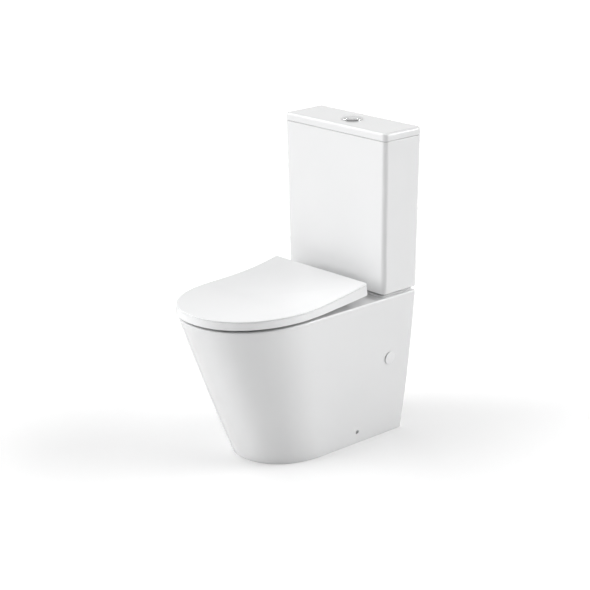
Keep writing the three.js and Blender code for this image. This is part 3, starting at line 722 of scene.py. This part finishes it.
def makePan():
    height, foot, rim = pan["height"], pan["footRound"], pan["rimRound"]
    under, rise = height - pan["deck"], height + pan["plinthRise"]
    inletY, flushHeight, flushBore = pan["inletY"], pan["flushHeight"], pan["flushBore"]
    trapEnd, outletHeight = pan["trapRear"], pan["outletHeight"]
    skin = [(0, foot), (0.3 * foot, foot / 3), (foot, 0), *[(height * i / 26, 0) for i in range(1, 26)],
            (height - rim - 4, 0), *fillet(height, rim, 1, 6)]
    hollow = [(-over, 0), *[(under * i / 8, 0) for i in range(1, 8)], *fillet(under, pan["deckRound"], 1, 3)]
    shell = newObject("panCasting", panHull(skin))
    combine(shell, "DIFFERENCE", panHull(hollow, pan["wall"], steps=48, sideSteps=8), backOpening())
    combine(shell, "UNION", bowlForm(pan["bowlWall"]),
            pipeMesh([*pan["trapRoute"], (trapEnd, outletHeight)], pan["trapBore"] + pan["trapWall"]),
            pipeMesh([*pan["flushRoute"], (pan["flushFront"], flushHeight)], flushBore + pan["flushWall"]),
            plinthForm(height, rise), rodAlongZ(pan["bossRadius"], pan["bossFoot"], height - over, 0, inletY))

    def drill(radius, x, y):
        return rodAlongZ(radius, under - 2 * over, rise + 2 * over, x, y, 40)

    recess = discProfile(pan["inletRecess"], pan["recessFloor"], rise + 2 * over)
    combine(shell, "DIFFERENCE", bowlForm(0),
            pipeMesh([*pan["trapRoute"], (over, outletHeight)], pan["trapBore"]),
            pipeMesh([(inletY, pan["recessFloor"] + over), *pan["flushRoute"],
                      (pan["boreFront"], flushHeight)], flushBore),
            lathe(rounded(recess, pan["recessRound"]), 0, inletY),
            drill(pan["fillHole"], pan["fillX"], inletY))
    for side in (-1, 1):
        cap, screw = (sorted(side * x for x in pan[key]) for key in ("capReach", "screwReach"))
        combine(shell, "DIFFERENCE", drill(pan["boltHole"], side * pan["boltX"], inletY),
                drill(pan["studHole"], side * pan["studX"], pan["studY"]),
                rodAlongX(pan["capHole"], *cap, pan["capY"], pan["capZ"]),
                rodAlongX(pan["screwHole"], *screw, pan["screwY"], pan["screwZ"]))
    nodes = ["pan", "pan_bowl", "pan_trapway", "pan_flushway"]
    return finishPiece(shell, "glazed_china", "toilet", nodes, 40)


makePan()
print("pan made")


# cistern and its lid

cistern = {
    "bottom": 414, "top": 822, "wall": 9, "floor": 12, "corner": 13, "leastCorner": 4,
    "footRound": 4, "rimRound": 2, "floorRound": 8,
    "halfTop": 185, "halfBottom": 178.5, "frontTop": -135, "frontBottom": -128,
    "valveHole": 30.4, "fillX": -135, "fillHole": 9.5, "boltX": 85, "boltHole": 6, "fixingsY": -64,
}

cisternLid = {
    "bottom": 822.3, "top": 843, "half": 186.5, "front": -136.5, "corner": 14, "leastCorner": 4,
    "wall": 12, "plate": 9, "topRound": 7.5, "footRound": 1, "rearRound": 5, "shadowGap": 1.7, "gapDepth": 4,
    "pocketCorner": 6, "pocketRound": 4, "buttonY": -68, "buttonHole": 24.8,
}


def cisternOutline(z, inset):
    t = (z - cistern["bottom"]) / (cistern["top"] - cistern["bottom"])
    return outlineBox(mix(cistern["halfBottom"], cistern["halfTop"], t) - inset,
                      mix(cistern["frontBottom"], cistern["frontTop"], t) + inset, -inset,
                      max(cistern["corner"] - inset, cistern["leastCorner"]))


def makeCistern():
    bottom, top, wall, floor = (cistern[key] for key in ("bottom", "top", "wall", "floor"))
    skin = [*fillet(bottom, cistern["footRound"], -1, 5),
            *[(mix(bottom, top, i / 10), 0) for i in range(1, 10)], *fillet(top, cistern["rimRound"], 1, 4)]
    inside = [*[(z, wall + inset) for z, inset in fillet(bottom + floor, cistern["floorRound"], -1, 5)],
              *[(mix(bottom, top, i / 6), wall) for i in range(1, 6)], (top + 2 * over, wall)]
    tank = newObject("cisternTank", loftMesh([atHeight(cisternOutline(z, inset), z) for z, inset in skin]))
    combine(tank, "DIFFERENCE", loftMesh([atHeight(cisternOutline(z, inset), z) for z, inset in inside]))
    for x, radius in ((0, cistern["valveHole"]), (cistern["fillX"], cistern["fillHole"]),
                      (cistern["boltX"], cistern["boltHole"]), (-cistern["boltX"], cistern["boltHole"])):
        combine(tank, "DIFFERENCE", rodAlongZ(radius, bottom - 2 * over, bottom + floor + 2 * over, x,
                                              cistern["fixingsY"]))
    return finishPiece(tank, "glazed_china", "toilet", ["cistern"], 40)


def makeCisternLid():
    bottom, top, wall = cisternLid["bottom"], cisternLid["top"], cisternLid["wall"]
    half, front = cisternLid["half"], cisternLid["front"]

    def outline(inset):
        return outlineBox(half - inset, front + inset, -min(inset, cisternLid["rearRound"]),
                          max(cisternLid["corner"] - inset, cisternLid["leastCorner"]))

    def pocket(inset):
        depth = wall + inset
        return outlineBox(half - depth, front + depth, -depth, cisternLid["pocketCorner"])

    # a shallow rebate under the rim leaves a dark line above the cistern
    lip, depth = bottom + cisternLid["shadowGap"], cisternLid["gapDepth"]
    skin = [(bottom, depth), (lip - 0.2, depth), *fillet(lip, cisternLid["footRound"], -1, 3),
            (mix(bottom, top, 0.4), 0), *fillet(top, cisternLid["topRound"], 1, 10)]
    cover = newObject("cisternCover", loftMesh([atHeight(outline(inset), z) for z, inset in skin]))
    levels = [(bottom - 3, 0), *fillet(top - cisternLid["plate"], cisternLid["pocketRound"], 1, 4)]
    combine(cover, "DIFFERENCE", loftMesh([atHeight(pocket(inset), z) for z, inset in levels]),
            rodAlongZ(cisternLid["buttonHole"], bottom, top + 2 * over, 0, cisternLid["buttonY"], 96))
    return finishPiece(cover, "glazed_china", "cistern_top", ["cistern_lid"], 40)


makeCistern()
makeCisternLid()
print("cistern and its lid made")


# seat ring, seat lid and their hinges

seat = {
    "half": 180, "rearHalf": 174, "bend": -400, "nose": -628, "rear": -178, "corner": 8,
    "lidBottom": 411, "lidTop": 433, "lidWall": 5, "crown": 2, "lidEdge": 1.6, "lidLean": 2.8, "lidFoot": 1.5,
    "lineDrop": 1.9, "lineHalf": 1.1, "lineDepth": 1.7,
    # the lid follows the rise in part at its foot, almost in full at its edge
    "riseFrom": -430, "riseRate": 0.000415, "bottomRise": 0.6, "edgeRise": 0.97,
    "crownRings": (0.97, 0.93, 0.86, 0.78, 0.68, 0.57, 0.45, 0.33, 0.21, 0.1, 0.02),
    "slotSide": 3, "slotBehind": 12, "slotAhead": 6, "slotTop": 11,
    "ringBottom": 406.5, "ringTop": 423, "ringInset": 13, "ringRearHalf": 140, "ringRear": -222,
    "ringCorner": 40, "ringEdge": 6, "ringFoot": 2,
    "holeHalf": 108, "holeFront": -560, "holeRear": -262, "holeEdge": 8, "holeFoot": 3,
}

hinge = {
    "y": -200, "z": 436, "x": 75, "pin": 4, "lidKnuckle": 10, "seatKnuckle": 10.5, "damper": 7.5,
    "seatX": (40, 61.5), "postX": (63, 87), "lidX": (89.5, 105),
    "lidWeb": 8, "lidWebTop": 13.5, "seatWeb": 16, "seatWebRise": 8, "lidPlay": 0.4, "play": 0.3,
    "post": 9, "column": 8, "columnCorner": 2.5, "baseRadius": 20, "baseRise": 4, "baseRound": 1.6,
    "studHole": 4.3, "studDepth": 16.7,
}


def sweep(y):
    # the back of the lid rises in a curve towards the hinge
    return seat["riseRate"] * max(0, y - seat["riseFrom"]) ** 2


def lidRing(z, inset, follow, shrink=1):
    middle = (seat["nose"] + seat["rear"]) / 2
    outline = outlineNose(seat["half"] - inset, seat["rear"] - inset, seat["bend"], seat["nose"] + inset,
                          max(seat["corner"] - inset, 5), seat["rearHalf"] - inset, steps=128, sideSteps=32)
    moved = [(x * shrink, mix(middle, y, shrink)) for x, y in outline]
    return [(x, y, z + follow * sweep(y)) for x, y in moved]


def lidForm(inset, bottom, top):
    # the sides lean in towards a crisp edge round the top
    edge, foot, lean = seat["lidEdge"], seat["lidFoot"], seat["lidLean"]
    low, high = seat["bottomRise"], seat["edgeRise"]
    rings = [lidRing(z, inset + extra, low) for z, extra in fillet(bottom, foot, -1, 4)]
    drop, half = seat["lineDrop"], seat["lineHalf"]
    span = top - edge - bottom - foot
    # a fine line is cut into the side just under the edge
    line = [(1 - (drop + half) / span, 0), (1 - drop / span, seat["lineDepth"]),
            (1 - (drop - half) / span, 0)]
    for t, cut in [*[(i / 7, 0) for i in range(1, 6)], *line]:
        rings.append(lidRing(mix(bottom + foot, top - edge, t), inset + lean * t + cut, mix(low, high, t)))
    for z, extra in fillet(top, edge, 1, 5):
        rings.append(lidRing(z, inset + lean + extra, mix(high, 1, (z - top + edge) / edge)))
    for shrink in seat["crownRings"]:
        rings.append(lidRing(top + seat["crown"] * (1 - shrink * shrink), inset + lean + edge, 1, shrink))
    return loftMesh(rings)


def onBothSides(values):
    return [sorted(side * x for x in values) for side in (-1, 1)]


def makeSeatLid():
    bottom, top, wall, rear = seat["lidBottom"], seat["lidTop"], seat["lidWall"], seat["rear"]
    y, z, web = hinge["y"], hinge["z"], hinge["lidWeb"]
    cover = newObject("seatCover", lidForm(0, bottom, top))
    combine(cover, "DIFFERENCE", lidForm(wall, bottom - 4 * over, top - wall))
    for x0, x1 in onBothSides((hinge["seatX"][0] - seat["slotSide"], hinge["lidX"][0] - 0.5)):
        combine(cover, "DIFFERENCE", blockMesh(x0, x1, rear - seat["slotBehind"], rear + seat["slotAhead"],
                                               bottom - over, z + seat["slotTop"]))
    for x0, x1 in onBothSides(hinge["lidX"]):
        combine(cover, "UNION", rodAlongX(hinge["lidKnuckle"], x0, x1, y, z),
                blockMesh(x0 + 1, x1 - 1, y - web, y + web, z, z + hinge["lidWebTop"]))
        combine(cover, "DIFFERENCE", rodAlongX(hinge["pin"] + hinge["lidPlay"], x0 - over, x1 + over, y, z))
    return finishPiece(cover, "seat_plastic", "lid", ["seat_lid"], 40)


def makeSeatRing():
    low, high, inset, rear = seat["ringBottom"], seat["ringTop"], seat["ringInset"], seat["ringRear"]
    y, z, edge, holeEdge = hinge["y"], hinge["z"], seat["ringEdge"], seat["holeEdge"]

    def outline(extra):
        return outlineNose(seat["half"] - inset - extra, rear - extra, seat["bend"],
                           seat["nose"] + inset + extra, seat["ringCorner"], seat["ringRearHalf"] - extra,
                           steps=112, sideSteps=20, cornerSteps=12)

    def hole(extra):
        return outlineOval(seat["holeHalf"] + extra, seat["holeFront"] - extra, seat["holeRear"] + extra, 128)

    skin = [*fillet(low, seat["ringFoot"], -1, 4), (mix(low, high, 0.4), 0), *fillet(high, edge, 1, 8)]
    ring = newObject("seatRing", loftMesh([atHeight(outline(extra), z) for z, extra in skin]))
    opening = [(low - over, seat["holeFoot"]), *fillet(low, seat["holeFoot"], -1, 4),
               (mix(low, high, 0.4), 0), *fillet(high, holeEdge, 1, 8), (high + 3, holeEdge)]
    combine(ring, "DIFFERENCE", loftMesh([atHeight(hole(extra), z) for z, extra in opening]))
    for x0, x1 in onBothSides(hinge["seatX"]):
        combine(ring, "UNION", rodAlongX(hinge["seatKnuckle"], x0, x1, y, z),
                blockMesh(x0 + 0.5, x1 - 0.5, rear - hinge["seatWeb"], y,
                          high - hinge["seatWebRise"], high + hinge["seatWebRise"]))
        combine(ring, "DIFFERENCE", rodAlongX(hinge["damper"] + hinge["play"], x0 - over, x1 + over, y, z))
    return finishPiece(ring, "seat_plastic", "seat", ["seat_ring"], 40)


def makeHingePost(side, name):
    x, y, z = side * hinge["x"], hinge["y"], hinge["z"]
    x0, x1 = sorted(side * edge for edge in hinge["postX"])
    foot, half = pan["height"] + gap, (x1 - x0) / 2
    base = rounded(discProfile(hinge["baseRadius"], foot, foot + hinge["baseRise"] - gap), hinge["baseRound"])
    post = newObject("hingePost" + name, lathe(base, x, y, 72))
    outline = [(a + (x0 + x1) / 2, b + y)
               for a, b in outlineBox(half, -hinge["column"], hinge["column"], hinge["columnCorner"], 6, 2)]
    combine(post, "UNION", loftMesh([atHeight(outline, height) for height in (foot + 1, z)]),
            rodAlongX(hinge["post"], x0, x1, y, z, edge=1))
    combine(post, "DIFFERENCE", rodAlongX(hinge["pin"] + hinge["play"], x0 - over, x1 + over, y, z),
            rodAlongZ(hinge["studHole"], foot - 3, foot + hinge["studDepth"], x, y))
    return finishPiece(post, "chrome", "toilet", ["hinge_post_" + name.lower()], 35)


makeSeatLid()
makeSeatRing()
makeHingePost(-1, "Left")
makeHingePost(1, "Right")
print("seat, seat lid and hinges made")


# side caps

sideCap = {
    "y": -82, "z": 228, "radius": 18, "plug": 13.8, "plugDepth": 7,
    "rim": 2.1, "rimEdge": 1.1, "rimRise": 0.9, "dome": 3.4, "lean": 0.11,
}


def makeSideCap(side, name):
    radius, rim, dome, plug, depth = (sideCap[key] for key in ("radius", "rim", "dome", "plug", "plugDepth"))
    edge, rise = sideCap["rimEdge"], sideCap["rimRise"]
    profile = [(0, -depth), (plug, -depth), (plug, gap), (radius - 0.3, gap), (radius, 2 * gap),
               (radius, rim)]
    profile += [(radius - edge + edge * cos(a), rim + rise * sin(a)) for a in (0.4, 0.8, 1.2)]
    profile += [(r * (radius - edge), dome - (dome - rim - rise) * r * r) for r in (0.9, 0.7, 0.5, 0.3, 0.1)]
    vertices, faces = lathe([*profile, (0, dome)], segments=96)
    t = sideCap["z"] / pan["height"]
    wallX = mix(pan["halfFloor"], pan["halfTop"], bowed(t, pan["sideBulge"]))
    turn = Matrix.Rotation(side * (pi / 2 + atan(sideCap["lean"])), 3, "Y")
    place = Vector((side * (wallX + gap), sideCap["y"], sideCap["z"]))
    placed = [tuple(turn @ Vector(v) + place) for v in vertices]
    cap = newObject("sideCap" + name, (placed, faces))
    return finishPiece(cap, "seat_plastic", "toilet", ["side_cap_" + name.lower()], 32)


makeSideCap(-1, "Left")
makeSideCap(1, "Right")
print("side caps made")


# push button

button = {
    "y": -68, "seatZ": 843.3, "ring": 28.5, "crest": 24.6, "ringTop": 847.2, "ringInner": 20.8,
    "disc": 20.2, "top": 847.8, "dome": 0.6, "foot": 838, "edge": 0.9, "split": -5, "gap": 0.35,
    "cutReach": 60, "cutHeights": (820, 870),
    "cup": 24.4, "cupFoot": 815, "flange": 26.9, "bore": 21.2, "floor": 3, "flangeTop": 844.8,
    "ringLow": 845.1, "ringEdge": 0.7, "ringRise": 0.9, "flangePlay": 0.4, "rodX": (-13, 9), "rodHole": 4,
}


def makeButtonRing():
    # a flat shining ring with a sloping, slightly hollow outer face
    low, outer, inner, high = button["seatZ"], button["ring"], button["ringInner"], button["ringTop"]
    under, edge, rise, crest = button["ringLow"], button["ringEdge"], button["ringRise"], button["crest"]
    shoulder = button["flange"] + button["flangePlay"]
    profile = [(inner, under), (shoulder, under), (shoulder, low), (outer - 0.2, low), (outer, low + 0.2)]
    profile += [(crest + (outer - crest) * cos(a), low + rise + (high - low - rise) * sin(a))
                for a in quarterTurns(9)]
    profile += [(inner + edge - edge * cos(a), high - edge + edge * sin(a)) for a in quarterTurns(6)[::-1]]
    ring = newObject("buttonRing", lathe([*profile, (inner, under)], 0, button["y"], 128))
    return finishPiece(ring, "chrome", "cistern_top", ["button_ring"], 40)


def makeFlushButton(name, side):
    radius, top, edge, y = button["disc"], button["top"], button["edge"], button["y"]
    profile = [(0, button["foot"]), (radius, button["foot"])]
    profile += [(radius - edge + edge * cos(a), top - edge + edge * sin(a)) for a in quarterTurns(6)]
    profile += [(radius * s, top + button["dome"] * (1 - s * s)) for s in (0.8, 0.6, 0.4, 0.2)]
    half = newObject(name + "FlushButton", lathe([*profile, (0, top + button["dome"])], 0, y, 128))
    cutX, reach = button["split"] + side * button["gap"], button["cutReach"]
    away = (cutX, reach) if side < 0 else (-reach, cutX)
    combine(half, "DIFFERENCE", blockMesh(*away, y - reach, y + reach, *button["cutHeights"]))
    return finishPiece(half, "chrome", name + "_button", [name + "_flush_button"], 35)


def makeButtonHousing():
    cup, foot, flange, bore = button["cup"], button["cupFoot"], button["flange"], button["bore"]
    low, high, floor, y = button["seatZ"], button["flangeTop"], foot + button["floor"], button["y"]
    profile = [(0, foot), (cup, foot), (cup, low), (flange, low), (flange, high), (bore, high), (bore, floor),
               (0, floor)]
    housing = newObject("buttonHousing", lathe(rounded(profile, 0.6, 2), 0, y, 96))
    for x in button["rodX"]:
        combine(housing, "DIFFERENCE", rodAlongZ(button["rodHole"], foot - over, floor + over, x, y, 32))
    return finishPiece(housing, "valve_plastic", "cistern_top", ["button_housing"], 35)


makeButtonRing()
makeFlushButton("half", -1)
makeFlushButton("full", 1)
makeButtonHousing()
print("push button made")


# turned parts of the valves, the coupling and the fixings

slotOf = {part["node"]: part["material_slot"] for part in frame["record"]["subparts"]}
bodyOf = {node: body for body, nodes in frame["record"]["behaviour"]["bodies"].items() for node in nodes}


rodProfile = [(0, 742), (4, 742), (4, 746), (3, 748), (3, 837.7), (0, 837.7)]

# place on the toilet, corner rounding and profile of radius and height; a pair stands at -x and x
turnedParts = {
    "close_coupling_gasket": {"y": -64, "round": 3, "profile": ringProfile(38.6, 46, 388.3, 413.7)},
    "cistern_bolt": {"x": 85, "y": -64, "round": 0.5, "profile": [
        (0, 358), (4, 358), (4, 430.6), (10, 430.6), (10, 434.6), (6, 436.6), (0, 436.6)]},
    "bolt_washer": {"x": 85, "y": -64, "round": 1.4, "profile": ringProfile(4.3, 14, 426.3, 430.3)},
    "seat_stud": {"x": 75, "y": -200, "round": 0.8, "profile": discProfile(4, 352, 419)},
    "cone_washer": {"x": 75, "y": -200, "round": 1, "profile": [
        (4.3, 374.7), (12, 374.7), (14, 377.7), (14, 382.7), (4.3, 382.7), (4.3, 374.7)]},
    "seat_buffer_front": {"x": 126, "y": -500, "round": 1.2, "profile": discProfile(8, 403.4, 406.2)},
    "seat_buffer_rear": {"x": 114, "y": -280, "round": 1.2, "profile": discProfile(8, 403.4, 406.2)},
    "lid_buffer": {"x": 128, "y": -490, "round": 1.4, "profile": discProfile(7, 423.3, 427.7)},
    "housing_nut": {"y": -68, "round": 1, "profile": ringProfile(25, 31.5, 826.7, 833.7)},
    "flush_valve_base": {"y": -64, "round": 0.9, "profile": [
        (25, 396), (30, 396), (30, 426.3), (40, 426.3), (40, 431), (33, 431), (31, 440), (27, 440), (25, 438),
        (25, 396)]},
    "flush_valve_nut": {"y": -64, "round": 1.2, "profile": ringProfile(30.4, 38, 401, 413.7)},
    "flush_valve_core": {"y": -64, "round": 0.8, "profile": [
        (15, 444), (30, 444), (30, 447), (17, 451), (17, 690), (15, 690), (15, 444)]},
    "flush_valve_seal": {"y": -64, "round": 1, "profile": ringProfile(18, 31.5, 440.3, 443.7)},
    "fill_valve_body": {"at": -135, "y": -64, "round": 0.7, "profile": [
        (6, 372), (9, 372), (9, 429.6), (16, 429.6), (16, 434), (12, 435), (12, 640), (7, 640), (6, 372)]},
    "fill_valve_washer": {"at": -135, "y": -64, "round": 1, "profile": ringProfile(9.3, 15, 426.3, 429.3)},
    "fill_valve_cap": {"at": -135, "y": -64, "round": 2, "profile": [
        (0, 640.3), (19, 640.3), (19, 654), (15, 660), (0, 662)]},
    "fill_valve_float": {"at": -135, "y": -64, "round": 2, "profile": [
        (12.8, 470), (24, 470), (26, 474), (26, 526), (23, 530), (12.8, 530), (12.8, 470)]},
    "half_flush_rod": {"at": button["rodX"][0], "y": -68, "round": 0.6, "profile": rodProfile},
    "full_flush_rod": {"at": button["rodX"][1], "y": -68, "round": 0.6, "profile": rodProfile},
}


def camel(node):
    first, *rest = node.split("_")
    return first + "".join(word.capitalize() for word in rest)


def makeTurned(node, values, x):
    shape = lathe(rounded(values["profile"], values["round"], 4), x, values["y"], 72)
    return finishPiece(newObject(camel(node), shape), slotOf[node], bodyOf[node], [node], 35)


for node, values in turnedParts.items():
    if "x" in values:
        makeTurned(node + "_left", values, -values["x"])
        makeTurned(node + "_right", values, values["x"])
    else:
        makeTurned(node, values, values.get("at", 0))
print("turned parts made:", len(turnedParts))


# frame pieces that keep their shape take their finishes here

for node, slot in slotOf.items():
    kept = frame["nodes"][node]
    kept.data.materials.clear()
    kept.data.materials.append(materials[slot])
